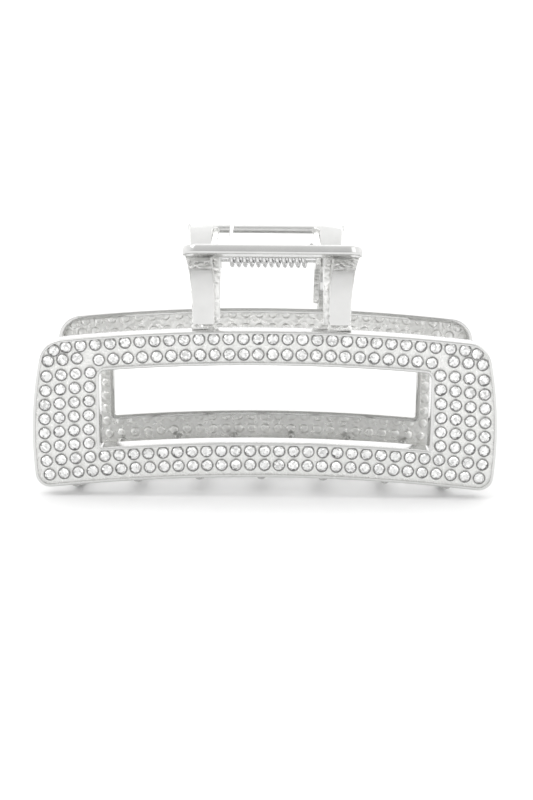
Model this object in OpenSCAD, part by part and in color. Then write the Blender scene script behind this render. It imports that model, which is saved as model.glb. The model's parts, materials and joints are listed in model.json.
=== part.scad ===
// Rhinestone claw clip: two arched rectangular jaws with stone-set faces, looped finger
// handles, a hinge pin and a torsion spring. Millimetres, +Z up, standing on its teeth.
// X runs along the clip, the front jaw faces -Y and the rear jaw faces +Y.

/* [Jaw frames] */
// Overall length of a jaw
jaw_w = 100; // [96:1:110]
// Height of a jaw at its middle
jaw_h = 32.2; // [31.8:0.1:34]
// Distance between the outer faces of the closed jaws
jaw_gap = 35.6; // [34:0.1:40]
// Depth of the jaw's hollow tray, from rim to open back
tray_d = 4.6; // [4:0.1:6]
// Thickness of the tray's walls
wall_t = 1.1; // [0.8:0.1:1.3]
// Thickness of the plate that carries the stones
plate_t = 1; // [0.8:0.1:1.2]
// Height of the polished rims above the plate
rim_h = 0.6; // [0.5:0.1:0.8]
// Width of the polished rims
rim_w = 0.65; // [0.5:0.01:0.7]
// Radius of the jaw's upward arch
arch_r = 420; // [350:10:700]
// Radius of the bowed ends
bow_r = 80; // [70:5:150]
// Height at which the bowed ends are widest
bow_h = 11.5; // [9:0.5:16]
// Radius of the upper corners
top_corner_r = 4.7; // [3:0.1:5]
// Radius of the lower corners
low_corner_r = 3.6; // [2:0.1:4]

/* [Window] */
// Half of the window's length
window_half = 35.5; // [35:0.1:35.6]
// Height of the window's lower edge above the jaw's lower edge
window_low = 7.8; // [7.7:0.1:8]
// Height of the window's upper edge above the jaw's lower edge
window_high = 24.7; // [24.5:0.1:24.9]
// Radius of the window's upper corners
window_top_r = 1.3; // [0.8:0.1:2]
// Radius of the window's lower corners
window_low_r = 0.6; // [0.3:0.1:1]

/* [Stones] */
// Radius of a stone at its girdle
stone_r = 1.12; // [1:0.01:1.15]
// Radius of a stone's flat table
table_r = 0.62; // [0.5:0.01:0.7]
// Height of a stone above the plate
stone_h = 0.55; // [0.45:0.05:0.55]
// Wall of the cup that holds a stone
cup_t = 0.14; // [0.1:0.01:0.16]
// Height of the cup's wall
cup_h = 0.4; // [0.3:0.05:0.45]
// Height of the lowest row of stones
row_low = 2.7; // [2.6:0.05:2.8]
// Rise from one row of stones to the next
row_rise = 3.1; // [3.05:0.01:3.12]

/* [Teeth] */
// Distance between neighbouring teeth of one jaw
tooth_pitch = 13.45; // [13:0.05:13.6]
// Radius of a tooth's round section
tooth_r = 1.3; // [1:0.05:1.35]
// Radius of the curve that a tooth follows
tooth_bow_r = 26; // [24:1:32]
// How far a tooth sinks below the jaw's lower edge
tooth_drop = 2.7; // [2.5:0.1:3]
// How far a tooth's tip reaches past the middle of the clip
tooth_reach = 2; // [0.5:0.1:3]

/* [Handles] */
// Thickness of the handle's strip
strip_t = 2; // [1.6:0.1:2.2]
// Half the handle's width at its foot
foot_half = 17; // [16.5:0.1:18]
// Half the handle's width at its tip
tip_half = 18.5; // [18:0.1:20]
// Half the width of the finger loop at its foot
loop_foot_half = 12.1; // [12:0.05:12.2]
// Half the width of the finger loop at the bar
loop_tip_half = 12.6; // [12.4:0.1:13]
// Width of the bar across the tip
bar_w = 4.5; // [4:0.1:5]
// Distance of the handle's tip from the middle of the clip
tip_reach = 26.8; // [26:0.1:28]
// Height of the handle's tip above the jaw's lower edge
tip_h = 50.4; // [50:0.1:51]
// Radius of the handle's outward curl
curl_r = 12.5; // [11:0.5:13]
// Angle through which the handle curls outward
curl_angle = 70; // [66:1:72]

/* [Hinge] */
// Height of the hinge axis above the jaw's lower edge
hinge_h = 45.4; // [45:0.1:46]
// Distance of the hinge group from the jaw's middle, along the clip
hinge_shift = 0.55; // [0:0.05:1]
// Thickness of a hinge ear
ear_t = 1.3; // [1.2:0.05:1.32]
// Radius of a hinge ear's eye
eye_r = 2.4; // [2.2:0.1:2.6]
// Radius of the hinge pin
pin_r = 0.95; // [0.85:0.05:1]
// Radial running clearance of the moving ears on the pin
pin_clear = 0.05; // [0.02:0.01:0.1]
// Radius of the pin's heads
head_r = 1.7; // [1.5:0.1:2]
// Thickness of a pin head
head_t = 0.6; // [0.4:0.1:0.8]

/* [Spring] */
// Thickness of the spring's wire
wire_d = 0.95; // [0.8:0.05:1]
// Outer diameter of the spring's coil
coil_d = 4.4; // [4.3:0.1:4.8]
// Distance between neighbouring turns
coil_pitch = 1.45; // [1.4:0.01:1.47]
// Number of turns
coil_turns = 12; // [10:1:13]

/* [Hidden] */
FRAME_NODES = ["jaw_frame", "teeth", "handle", "solder_seams"];
STONE_NODES = ["top_outer_stones", "top_inner_stones", "left_stones", "right_stones",
               "lower_inner_stones", "lower_outer_stones"];

// Distances from the middle of the clip, along Y
face_y = jaw_gap / 2;
plate_out = face_y - rim_h;
plate_in = plate_out - plate_t;
back_y = face_y - tray_d;
strip_y = back_y + strip_t / 2;

// Stone rows: each has its height, its spacing and the number of stones
top_row_h = 30.35;
top_inner_h = 27;
top_pitch = 3.145;
top_inner_pitch = 3.085;
low_inner_pitch = 3.14;
low_outer_pitch = 3.1;
top_count = 28;
top_end_x = 45.05;
top_end_h = 29.85;
top_inner_count = 24;
low_count = 31;
column_inner_x = 37.9;
column_pitch = 3.16;
column_count = 4;
column_rows = 6;
shoulder_h = 27.7;
shoulder_stones = 3;
first_column_row = 2;
column_bow = 0.7;
cup_gap = 0.03;
cup_back_r = stone_r - 0.1;
window_bow = 40;

// Teeth: the front jaw has one more than the rear, whose teeth fall between them
front_teeth_count = 7;
rear_teeth_count = 6;
teeth_shift = -0.7;
tooth_low_y = 6.3;
tooth_root_y = 15.9;

// Heights above the surface that the clip stands on
outer_tooth_x = (front_teeth_count - 1) / 2 * tooth_pitch - teeth_shift;
jaw_z = tooth_drop + sag(outer_tooth_x);
hinge_z = jaw_z + hinge_h;
tip_z = jaw_z + tip_h;

// The curl starts where an arc and the straight tip reach the tip's place
tip_len = (tip_reach - strip_t / 2 - strip_y - curl_r * (1 - cos(curl_angle))) / sin(curl_angle);
curl_z = tip_z - curl_r * sin(curl_angle) - tip_len * cos(curl_angle);
loop_corner_r = 1.6;
tip_corner_r = 3;
solder_w = 0.9;
solder_over = 0.2;
loop_depth = 30;

// Ears sit side by side: the front handle is moved one way along X and the rear the other
ear_gap = 0.1;
ear_bite = 0.6;
web_drop = 0.6;
web_clear = 1.6;
web_from = 168;
web_to = 98;
ear_step = (ear_t + ear_gap) / 2;
ear_x = loop_foot_half + ear_bite - ear_t / 2;
pin_end = ear_x + ear_step + ear_t / 2 + ear_gap;

coil_r = (coil_d - wire_d) / 2;
coil_len = coil_turns * coil_pitch;
coil_step = 30;
wire_sides = 6;
arm_len = 22.9;
arm_rise = 3.9;
fine = 48;

// Drop of the arch at a distance x from the middle
function sag(x) = arch_r - sqrt(arch_r * arch_r - x * x);
function arch(points) = [for (p = points) [p[0], p[1] - sag(p[0])]];
function mirrored(points) = [for (i = [len(points) - 1 : -1 : 0]) [-points[i][0], points[i][1]]];

// Points of an arc around c
function arc(c, r, from, to, steps = 8) =
    [for (i = [0 : steps]) let(a = from + (to - from) * i / steps) c + r * [cos(a), sin(a)]];

// Right half of a rounded frame outline with bowed ends, from its lowest to its highest edge
function end_x(half, h, bow) = half - pow(h - bow_h, 2) / (2 * bow);
function end_tilt(h, bow) = atan((h - bow_h) / bow);
function right_outline(half, low, high, r_low, r_high, bow) =
    let(a_low = end_tilt(low + r_low, bow),
        a_high = end_tilt(high - r_high, bow),
        c_low = [end_x(half, low + r_low * (1 + sin(a_low)), bow) - r_low * cos(a_low), low + r_low],
        c_high = [end_x(half, high - r_high * (1 - sin(a_high)), bow) - r_high * cos(a_high), high - r_high],
        side_low = c_low[1] + r_low * sin(a_low),
        side_high = c_high[1] + r_high * sin(a_high),
        steps = 6)
    concat(
        [for (i = [1 : steps - 1]) [c_low[0] * i / steps, low]],
        arc(c_low, r_low, -90, a_low),
        [for (i = [1 : steps - 1])
            let(h = side_low + (side_high - side_low) * i / steps) [end_x(half, h, bow), h]],
        arc(c_high, r_high, a_high, 90),
        [for (i = [steps - 1 : -1 : 1]) [c_high[0] * i / steps, high]]
    );
function closed_outline(right) = arch(concat(right, mirrored(right)));
function jaw_outline(inset) = closed_outline(right_outline(jaw_w / 2 - inset, inset, jaw_h - inset,
    low_corner_r - inset, top_corner_r - inset, bow_r));
function window_outline(grow) = closed_outline(right_outline(window_half + grow, window_low - grow,
    window_high + grow, window_low_r + grow, window_top_r + grow, window_bow * bow_r));

// Places of the stones, before the arch is applied
function row_places(count, pitch, h) = [for (i = [0 : count - 1]) [(i - (count - 1) / 2) * pitch, h]];
function column_place(side, column, h) =
    let(x = column_inner_x + column * column_pitch)
    [side * (x - column_bow * pow(h - bow_h, 2) / (2 * bow_r) * x / (jaw_w / 2)), h];
function column_places(side) =
    [for (c = [0 : column_count - 1]) for (r = [first_column_row : first_column_row + column_rows - 1])
        column_place(side, c, row_low + r * row_rise)];
function shoulder_places(side) =
    [for (c = [column_count - shoulder_stones : column_count - 1]) column_place(side, c, shoulder_h)];
top_outer_places = arch(concat(row_places(top_count, top_pitch, top_row_h),
    [[-top_end_x, top_end_h], [top_end_x, top_end_h]]));
top_inner_places = arch(concat(row_places(top_inner_count, top_inner_pitch, top_inner_h),
    shoulder_places(-1), shoulder_places(1)));
left_places = arch(column_places(-1));
right_places = arch(column_places(1));
lower_inner_places = arch(row_places(low_count, low_inner_pitch, row_low + row_rise));
lower_outer_places = arch(row_places(low_count, low_outer_pitch, row_low));
all_places = concat(top_outer_places, top_inner_places, left_places, right_places,
    lower_inner_places, lower_outer_places);

// A flat shape in the jaw's plane, thickened between two distances from the middle of the clip
module slab(inner, outer) {
    translate([0, -inner, jaw_z]) rotate([90, 0, 0]) linear_extrude(outer - inner) children();
}

// A flat shape in the YZ plane, thickened between two places along X
module across(from, to) {
    translate([from, 0, 0]) rotate([90, 0, 90]) linear_extrude(to - from) children();
}

// Everything is drawn as the front half; the rear half is the same, turned about Z
module half(side) {
    rotate([0, 0, side == "front_" ? 0 : 180]) children();
}

// Discs at a list of places, as seats and cup walls
module discs(places, r) {
    for (p = places) translate(p) circle(r, $fn = 24);
}

// Hollow-backed tray with polished rims, a cup for each stone and the cups' round backs
module jaw_frame() {
    color("silver") union() {
        slab(back_y, plate_in) difference() {
            polygon(jaw_outline(0));
            polygon(jaw_outline(wall_t));
        }
        slab(back_y, plate_in) difference() {
            polygon(window_outline(wall_t));
            polygon(window_outline(0));
        }
        slab(plate_in, plate_out) difference() {
            polygon(jaw_outline(0));
            polygon(window_outline(0));
        }
        slab(plate_out, face_y) difference() {
            polygon(jaw_outline(0));
            polygon(jaw_outline(rim_w));
        }
        slab(plate_out, face_y) difference() {
            polygon(window_outline(rim_w));
            polygon(window_outline(0));
        }
        slab(plate_out, plate_out + cup_h) difference() {
            discs(all_places, stone_r + cup_gap + cup_t);
            discs(all_places, stone_r + cup_gap);
        }
        slab(plate_in - cup_h, plate_in) discs(all_places, cup_back_r);
    }
}

// One flat-backed stone: a girdle with a sloping crown and a flat table
module stone(p) {
    girdle_h = 0.25;
    translate([p[0], -plate_out, jaw_z + p[1]]) rotate([90, 0, 0]) union() {
        cylinder(h = girdle_h, r = stone_r, $fn = 24);
        translate([0, 0, girdle_h])
            cylinder(h = stone_h - girdle_h, r1 = stone_r, r2 = table_r, $fn = 24);
    }
}
module stones(places) {
    color("white") for (p = places) stone(p);
}

// A row of round-tipped teeth that curve in under the clip from the jaw's lower wall
module tooth(x) {
    root_angle = -asin((tooth_root_y - tooth_low_y) / tooth_bow_r);
    tip_angle = asin((tooth_low_y + tooth_reach) / tooth_bow_r);
    translate([x, -tooth_low_y, jaw_z - sag(x) - tooth_drop + tooth_r + tooth_bow_r])
        rotate([0, 90, 0]) union() {
            rotate([0, 0, root_angle]) rotate_extrude(angle = tip_angle - root_angle, $fn = 96)
                translate([tooth_bow_r, 0]) circle(tooth_r, $fn = 24);
            for (a = [root_angle, tip_angle])
                rotate([0, 0, a]) translate([tooth_bow_r, 0, 0]) sphere(tooth_r, $fn = 24);
        }
}
module teeth(count, shift) {
    color("silver") difference() {
        for (i = [0 : count - 1]) tooth(shift + (i - (count - 1) / 2) * tooth_pitch);
        slab(back_y - tooth_r, face_y) polygon(jaw_outline(0));
    }
}

// Side view of the handle's strip: upright legs that curl outward to a round-edged tip
function strip_arc(off) = [for (a = [0 : 5 : curl_angle])
    [-(strip_y + curl_r - (curl_r - off) * cos(a)), curl_z + (curl_r - off) * sin(a)]];
tip_end = [-(tip_reach - strip_t / 2), tip_z];
strip_side = concat(
    [[-back_y, jaw_z + window_high]],
    strip_arc(-strip_t / 2),
    arc(tip_end, strip_t / 2, 90 - (90 - curl_angle), 270 - (90 - curl_angle)),
    [for (i = [len(strip_arc(0)) - 1 : -1 : 0]) strip_arc(strip_t / 2)[i]],
    [[-back_y - strip_t, jaw_z + window_high]]
);

// Block across the strip, tapering to rounded corners at the tip
module loop_block(half_foot, half_tip, end, r) {
    depth = loop_depth;
    side = atan((half_tip - half_foot) / depth);
    corner = [half_tip - r, end - r];
    right = concat([[half_foot, end - depth]], arc(corner, r, -side, 90));
    translate([0, -tip_reach, tip_z]) rotate([-(90 - curl_angle), 0, 0])
        translate([0, 0, -2 * depth]) linear_extrude(4 * depth) mirror([0, 1, 0])
            polygon(concat(right, mirrored(right)));
}

// Hinge ear: a round eye on the pin, with a web back to the handle's leg
module ear(x, bore_r) {
    web = concat(
        [[0, hinge_z + eye_r], [-eye_r, hinge_z + eye_r]],
        [for (i = [10 : -1 : 0]) strip_arc(0)[i]],
        [[-strip_y, jaw_z + jaw_h + 1]],
        arc([0, jaw_z + jaw_h - web_drop], strip_y - web_clear, web_from, web_to),
        [[0, hinge_z - eye_r]]
    );
    across(x - ear_t / 2, x + ear_t / 2) difference() {
        union() {
            translate([0, hinge_z]) circle(eye_r, $fn = fine);
            polygon(web);
        }
        translate([0, hinge_z]) circle(bore_r, $fn = fine);
    }
}

module handle(shift, bore_r) {
    color("lightgray") difference() {
        translate([shift, 0, 0]) union() {
            difference() {
                intersection() {
                    across(-tip_half - 1, tip_half + 1) polygon(strip_side);
                    loop_block(foot_half, tip_half, 0, tip_corner_r);
                }
                loop_block(loop_foot_half, loop_tip_half, -bar_w, loop_corner_r);
            }
            for (side = [-1, 1]) ear(side * ear_x, bore_r);
        }
        slab(0, face_y) polygon(jaw_outline(0));
    }
}

// Soldered fillets along the front of the handle's feet
module solder_seams(shift) {
    leg_w = foot_half - loop_foot_half;
    color("gray") difference() {
        for (side = [-1, 1])
            translate([shift + side * (loop_foot_half + leg_w / 2), 0, 0])
                across(-leg_w / 2 - solder_over, leg_w / 2 + solder_over)
                    polygon([[-back_y - strip_t, jaw_z + jaw_h - 1],
                             [-back_y - strip_t, jaw_z + jaw_h + solder_w],
                             [-back_y - strip_t - solder_w, jaw_z + jaw_h - 1]]);
        slab(0, face_y) polygon(jaw_outline(0));
    }
}

module hinge_pin() {
    color("dimgray") translate([hinge_shift, 0, hinge_z]) rotate([0, 90, 0]) union() {
        translate([0, 0, -pin_end]) cylinder(h = 2 * pin_end, r = pin_r, $fn = fine);
        for (z = [-pin_end - head_t, pin_end])
            translate([0, 0, z]) cylinder(h = head_t, r = head_r, $fn = fine);
    }
}

// Path of the spring's wire: an arm over the rear bar, the coil, and an arm over the front bar
coil_path = [for (a = [0 : coil_step : coil_turns * 360])
    [a / 360 * coil_pitch - coil_len / 2, -coil_r * sin(a), coil_r * cos(a)]];
wire_path = concat(
    [[-coil_len / 2, arm_len, coil_r + arm_rise]],
    coil_path,
    [[coil_len / 2, -arm_len, coil_r + arm_rise]]
);
module torsion_spring() {
    color("gainsboro") translate([hinge_shift, 0, hinge_z]) wire(wire_path);
}

// A round wire swept along a path as one closed skin
function unit(v) = v / norm(v);
function path_dir(path, i) =
    unit(path[min(i + 1, len(path) - 1)] - path[max(i - 1, 0)]);
function wire_ring(path, i) =
    let(d = path_dir(path, i), u = unit(cross(d, [1, 0.001, 0])), v = cross(d, u))
    [for (s = [0 : wire_sides - 1])
        path[i] + wire_d / 2 * (cos(s * 360 / wire_sides) * u + sin(s * 360 / wire_sides) * v)];
module wire(path) {
    rings = len(path);
    points = [for (i = [0 : rings - 1]) for (p = wire_ring(path, i)) p];
    sides = [for (i = [0 : rings - 2]) for (s = [0 : wire_sides - 1])
        let(t = (s + 1) % wire_sides, here = i * wire_sides, next = here + wire_sides)
        each [[here + s, here + t, next + t], [here + s, next + t, next + s]]];
    first = [for (s = [wire_sides - 1 : -1 : 0]) s];
    last = [for (s = [0 : wire_sides - 1]) (rings - 1) * wire_sides + s];
    polyhedron(points, concat(sides, [first, last]));
}

for (side = ["front_", "rear_"]) half(side) {
    shift = (side == "front_" ? 1 : -1) * hinge_shift + ear_step;
    jaw_frame();
    teeth_count = side == "front_" ? front_teeth_count : rear_teeth_count;
    teeth_place = side == "front_" ? teeth_shift : -teeth_shift;
    teeth(teeth_count, teeth_place);
    handle(shift, side == "front_" ? pin_r + pin_clear : pin_r);
    solder_seams(shift);
    stones(top_outer_places);
    stones(top_inner_places);
    stones(left_places);
    stones(right_places);
    stones(lower_inner_places);
    stones(lower_outer_places);
}
hinge_pin();
torsion_spring();
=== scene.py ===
"""Looks of a rhinestone claw hair clip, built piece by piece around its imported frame."""

import json
import math
from itertools import product

import bmesh
import bpy
from mathutils import Matrix, Quaternion, Vector, noise


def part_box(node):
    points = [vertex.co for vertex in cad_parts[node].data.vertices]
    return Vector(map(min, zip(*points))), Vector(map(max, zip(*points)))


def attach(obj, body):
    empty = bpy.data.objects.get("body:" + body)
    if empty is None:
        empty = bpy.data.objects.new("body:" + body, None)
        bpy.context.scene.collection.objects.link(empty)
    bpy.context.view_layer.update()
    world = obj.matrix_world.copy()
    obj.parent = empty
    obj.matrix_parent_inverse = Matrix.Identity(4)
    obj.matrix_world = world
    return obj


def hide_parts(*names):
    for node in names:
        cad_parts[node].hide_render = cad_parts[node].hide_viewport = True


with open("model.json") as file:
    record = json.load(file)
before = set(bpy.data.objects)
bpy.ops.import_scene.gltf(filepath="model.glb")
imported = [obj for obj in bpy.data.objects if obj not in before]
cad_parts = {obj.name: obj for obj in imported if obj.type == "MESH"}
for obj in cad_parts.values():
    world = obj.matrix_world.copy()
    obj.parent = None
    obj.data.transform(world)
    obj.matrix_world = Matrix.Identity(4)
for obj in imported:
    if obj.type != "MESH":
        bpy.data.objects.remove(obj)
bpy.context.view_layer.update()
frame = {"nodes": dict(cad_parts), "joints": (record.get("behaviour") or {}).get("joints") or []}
BOXES = {node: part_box(node) for node in frame["nodes"]}

bl_info = {
    "name": "Rhinestone Claw Clip",
    "version": (1, 0, 0),
    "blender": (4, 5, 0),
    "location": "View3D > Sidebar > Claw Clip",
    "description": "Builds a stone-set claw hair clip around its frame",
    "category": "Add Mesh",
}

SIDES = ("front", "rear")
STONE_GROUPS = (
    "top_outer_stones", "top_inner_stones", "left_stones", "right_stones",
    "lower_inner_stones", "lower_outer_stones",
)
HINGE = Vector(frame["joints"][0]["pos_m"])


# Sizes and colours that a user would change

def length(name, description, default):
    """A size in metres, shown in the scene's length unit."""
    return bpy.props.FloatProperty(
        name=name, description=description, default=default, min=0, precision=5,
        subtype="DISTANCE", unit="LENGTH")


def fraction(name, description, default):
    return bpy.props.FloatProperty(
        name=name, description=description, default=default, min=0, max=1, subtype="FACTOR")


def colour(name, description, default):
    return bpy.props.FloatVectorProperty(
        name=name, description=description, default=default, min=0, max=1, size=3, subtype="COLOR")


class ClipJawSettings(bpy.types.PropertyGroup):
    """Sizes of the two stone-set jaws."""

    height: length("Height", "Height of a jaw at its middle", 0.0322)
    arch_radius: length("Arch radius", "Radius of the jaw's upward arch", 0.42)
    bow_radius: length("Bow radius", "Radius of the bowed ends", 0.08)
    bow_height: length("Bow height", "Height at which the ends are widest", 0.0115)
    top_corner: length("Upper corners", "Radius of the upper corners", 0.0047)
    low_corner: length("Lower corners", "Radius of the lower corners", 0.0036)
    window_half: length("Window half length", "Half of the window's length", 0.0355)
    window_low: length("Window lower edge", "Height of the window's lower edge", 0.0078)
    window_high: length("Window upper edge", "Height of the window's upper edge", 0.0247)
    window_top_corner: length("Window upper corners", "Radius of the window's upper corners", 0.0013)
    window_low_corner: length("Window lower corners", "Radius of the window's lower corners", 0.0006)
    wall: length("Wall", "Thickness of the tray's walls", 0.0011)
    plate: length("Plate", "Thickness of the plate under the stones", 0.001)
    rim_height: length("Rim height", "Height of the polished rims above the plate", 0.0006)
    rim_width: length("Rim width", "Width of the polished rims", 0.00065)
    rim_round: length("Rim rounding", "Radius of the rims' outer edges", 0.0004)
    edge_round: length("Edge rounding", "Radius of the other edges", 0.00012)


class ClipStoneSettings(bpy.types.PropertyGroup):
    """Sizes of the stones and their cups."""

    radius: length("Radius", "Radius of a stone at its girdle", 0.00112)
    table: length("Table", "Radius of a stone's flat table", 0.00066)
    height: length("Height", "Height of a stone above the plate", 0.00055)
    girdle: length("Girdle", "Height of a stone's upright girdle", 0.0002)
    cup_gap: length("Cup gap", "Gap between a stone and its cup's wall", 0.00013)
    cup_wall: length("Cup wall", "Thickness of the cup's wall", 0.00016)
    cup_height: length("Cup height", "Height of the cup's wall above the plate", 0.0004)
    back_radius: length("Cup back", "Radius of the round back of a cup", 0.00115)
    back_height: length("Cup back height", "Height of the round back of a cup", 0.0004)


class ClipToothSettings(bpy.types.PropertyGroup):
    """Sizes of the teeth."""

    radius: length("Radius", "Radius of a tooth's round section", 0.0013)
    tip_radius: length("Tip radius", "Radius of a tooth near its tip", 0.00105)
    bow_radius: length("Curve", "Radius of the curve that a tooth follows", 0.026)
    low_place: length("Lowest place", "Distance of a tooth's lowest place from the middle", 0.0063)
    root_place: length("Root", "Distance of a tooth's root from the middle", 0.0159)
    reach: length("Reach", "How far a tooth reaches past the middle", 0.002)


class ClipHandleSettings(bpy.types.PropertyGroup):
    """Sizes of the finger handles and their hinge ears."""

    thickness: length("Thickness", "Thickness of the handle's strip", 0.002)
    foot_half: length("Foot", "Half the handle's width at its foot", 0.017)
    tip_half: length("Tip", "Half the handle's width at its tip", 0.0185)
    loop_foot: length("Loop foot", "Half the finger loop's width at its foot", 0.0121)
    loop_tip: length("Loop tip", "Half the finger loop's width at the bar", 0.0126)
    bar: length("Bar", "Width of the bar across the tip", 0.0045)
    corner: length("Corner", "Radius of the handle's outer corners", 0.003)
    tip_inset: length("Tip inset", "How far the tip's rounded edge is drawn back", 0.0003)
    loop_corner: length("Loop corner", "Radius of the loop's corners", 0.0016)
    edge: length("Edge rounding", "Radius of the strip's long edges", 0.00055)
    tip_height: length("Tip height", "Height of the tip above the jaw's lower edge", 0.0504)
    curl_radius: length("Curl", "Radius of the outward curl", 0.0125)
    curl_angle: bpy.props.FloatProperty(
        name="Curl angle", description="Angle through which the handle curls outward",
        default=math.radians(70), subtype="ANGLE", unit="ROTATION")
    ear: length("Ear", "Thickness of a hinge ear", 0.0013)
    eye: length("Eye", "Radius of an ear's round eye", 0.0024)
    ear_bite: length("Ear bite", "Depth to which an ear runs into its leg", 0.00025)


class ClipHingeSettings(bpy.types.PropertyGroup):
    """Sizes of the pin and the spring."""

    pin_radius: length("Pin radius", "Radius of the hinge pin", 0.00095)
    head_radius: length("Head radius", "Radius of the pin's heads", 0.0017)
    head_thickness: length("Head thickness", "Thickness of a pin head", 0.0006)
    wire: length("Wire", "Thickness of the spring's wire", 0.00095)
    coil: length("Coil", "Outer diameter of the coil", 0.0044)
    pitch: length("Pitch", "Distance between neighbouring turns", 0.00145)
    turns: bpy.props.IntProperty(name="Turns", description="Number of turns", default=12, min=2)
    arm: length("Arm", "Length of a spring arm", 0.0229)
    arm_rise: length("Arm rise", "Rise of a spring arm along its length", 0.0039)


class ClipFinishSettings(bpy.types.PropertyGroup):
    """Colours and surface finish."""

    plating: colour("Plating", "Colour of the silver plating", (0.66, 0.66, 0.652))
    casting: colour("Casting", "Colour of the unpolished plated casting", (0.86, 0.86, 0.845))
    steel: colour("Steel", "Colour of the pin and spring", (0.84, 0.84, 0.84))
    stone: colour("Stone", "Colour of the foil-backed stones", (0.93, 0.93, 0.925))
    seat: colour("Seat", "Colour of the shadowed seat round a stone", (0.2, 0.2, 0.2))
    polish: fraction("Polish", "Roughness of the polished plating", 0.12)
    cast_rough: fraction("Cast roughness", "Roughness of the unpolished casting", 0.3)
    floor: colour("Floor", "Colour of the floor", (0.93, 0.93, 0.93))


class ClipStageSettings(bpy.types.PropertyGroup):
    """Camera and light."""

    focal: bpy.props.FloatProperty(
        name="Focal length", description="Focal length of the camera, in millimetres", default=65.6)
    distance: length("Camera distance", "Distance of the camera from its target", 0.33)
    elevation: bpy.props.FloatProperty(
        name="Elevation", description="Angle at which the camera looks down",
        default=math.radians(12.6), subtype="ANGLE", unit="ROTATION")
    roll: bpy.props.FloatProperty(
        name="Roll", description="Angle at which the camera is tilted about its line of sight",
        default=math.radians(0.5), subtype="ANGLE", unit="ROTATION")
    target_x: bpy.props.FloatProperty(
        name="Target X", description="Place that the camera looks at, along the clip",
        default=0.0003, subtype="DISTANCE", unit="LENGTH", precision=5)
    target_z: length("Target height", "Height that the camera looks at", 0.0179)
    world: bpy.props.FloatProperty(name="World", description="Strength of the light all round", default=1.45)


SETTINGS = {
    "clip_jaw": ClipJawSettings,
    "clip_stone": ClipStoneSettings,
    "clip_tooth": ClipToothSettings,
    "clip_handle": ClipHandleSettings,
    "clip_hinge": ClipHingeSettings,
    "clip_finish": ClipFinishSettings,
    "clip_stage": ClipStageSettings,
}


# Places worked out from the frame

def box(node):
    """Low and high corner of a frame node, read once when the frame is loaded."""
    return BOXES[node]


def jaw_base(scene):
    """Height of the jaws' lower edge at their middle."""
    return box("front_jaw_frame")[1].z - scene.clip_jaw.height


def jaw_half_length():
    return box("front_jaw_frame")[1].x


def face_distance():
    """Distance of a jaw's outer face from the middle of the clip."""
    return -box("front_jaw_frame")[0].y


def back_distance():
    """Distance of a jaw's open back from the middle of the clip."""
    return -box("front_jaw_frame")[1].y


def handle_shift(side):
    """How far a handle's middle lies from the jaw's middle, seen with its own jaw in front."""
    low, high = box(f"{side}_handle")
    return (low.x + high.x) / 2 * (1 if side == "front" else -1)


def separate_centres(node):
    """Middle of each separate solid of a frame node, at the level of its face towards the clip's middle."""
    bm = bmesh.new()
    bm.from_mesh(frame["nodes"][node].data)
    bmesh.ops.remove_doubles(bm, verts=bm.verts, dist=1e-6)
    left = set(bm.verts)
    centres = []
    while left:
        island = [left.pop()]
        for v in island:
            for e in v.link_edges:
                other = e.other_vert(v)
                if other in left:
                    left.discard(other)
                    island.append(other)
        xs, ys, zs = zip(*(v.co for v in island))
        centres.append(Vector(((min(xs) + max(xs)) / 2, min(ys, key=abs), (min(zs) + max(zs)) / 2)))
    bm.free()
    return sorted(centres, key=lambda c: (round(c.z, 5), c.x))


def arc(centre, radius, start, end, steps=8):
    """Points of an arc, with angles in radians."""
    angles = [start + (end - start) * i / steps for i in range(steps + 1)]
    return [(centre[0] + radius * math.cos(a), centre[1] + radius * math.sin(a)) for a in angles]


def rounded_end(jaw, half, low, high, r_low, r_high, bow):
    """Right half of a rounded outline with bowed ends, from its lower to its upper edge."""
    def end_x(h):
        return half - (h - jaw.bow_height) ** 2 / (2 * bow)

    def tilt(h):
        return math.atan((h - jaw.bow_height) / bow)

    a_low, a_high = tilt(low + r_low), tilt(high - r_high)
    side_low = low + r_low * (1 + math.sin(a_low))
    side_high = high - r_high * (1 - math.sin(a_high))
    c_low = (end_x(side_low) - r_low * math.cos(a_low), low + r_low)
    c_high = (end_x(side_high) - r_high * math.cos(a_high), high - r_high)
    flat, upright = 24, 12
    points = [(c_low[0] * i / flat, low) for i in range(1, flat)]
    points += arc(c_low, r_low, -math.pi / 2, a_low)
    heights = [side_low + (side_high - side_low) * i / upright for i in range(1, upright)]
    points += [(end_x(h), h) for h in heights]
    points += arc(c_high, r_high, a_high, math.pi / 2)
    points += [(c_high[0] * i / flat, high) for i in range(flat - 1, 0, -1)]
    return points


def arched(jaw, points, base):
    """Closes a right half into a whole outline and bends it along the jaw's arch."""
    whole = points + [(-x, h) for x, h in reversed(points)]
    drop = [jaw.arch_radius - math.sqrt(jaw.arch_radius ** 2 - x * x) for x, _ in whole]
    return [(x, base + h - d) for (x, h), d in zip(whole, drop)]


def jaw_outline(jaw, inset, base):
    return arched(jaw, rounded_end(
        jaw, jaw_half_length() - inset, inset, jaw.height - inset,
        jaw.low_corner - inset, jaw.top_corner - inset, jaw.bow_radius), base)


def window_outline(jaw, grow, base):
    return arched(jaw, rounded_end(
        jaw, jaw.window_half + grow, jaw.window_low - grow, jaw.window_high + grow,
        jaw.window_low_corner + grow, jaw.window_top_corner + grow, 40 * jaw.bow_radius), base)


# Mesh helpers

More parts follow.
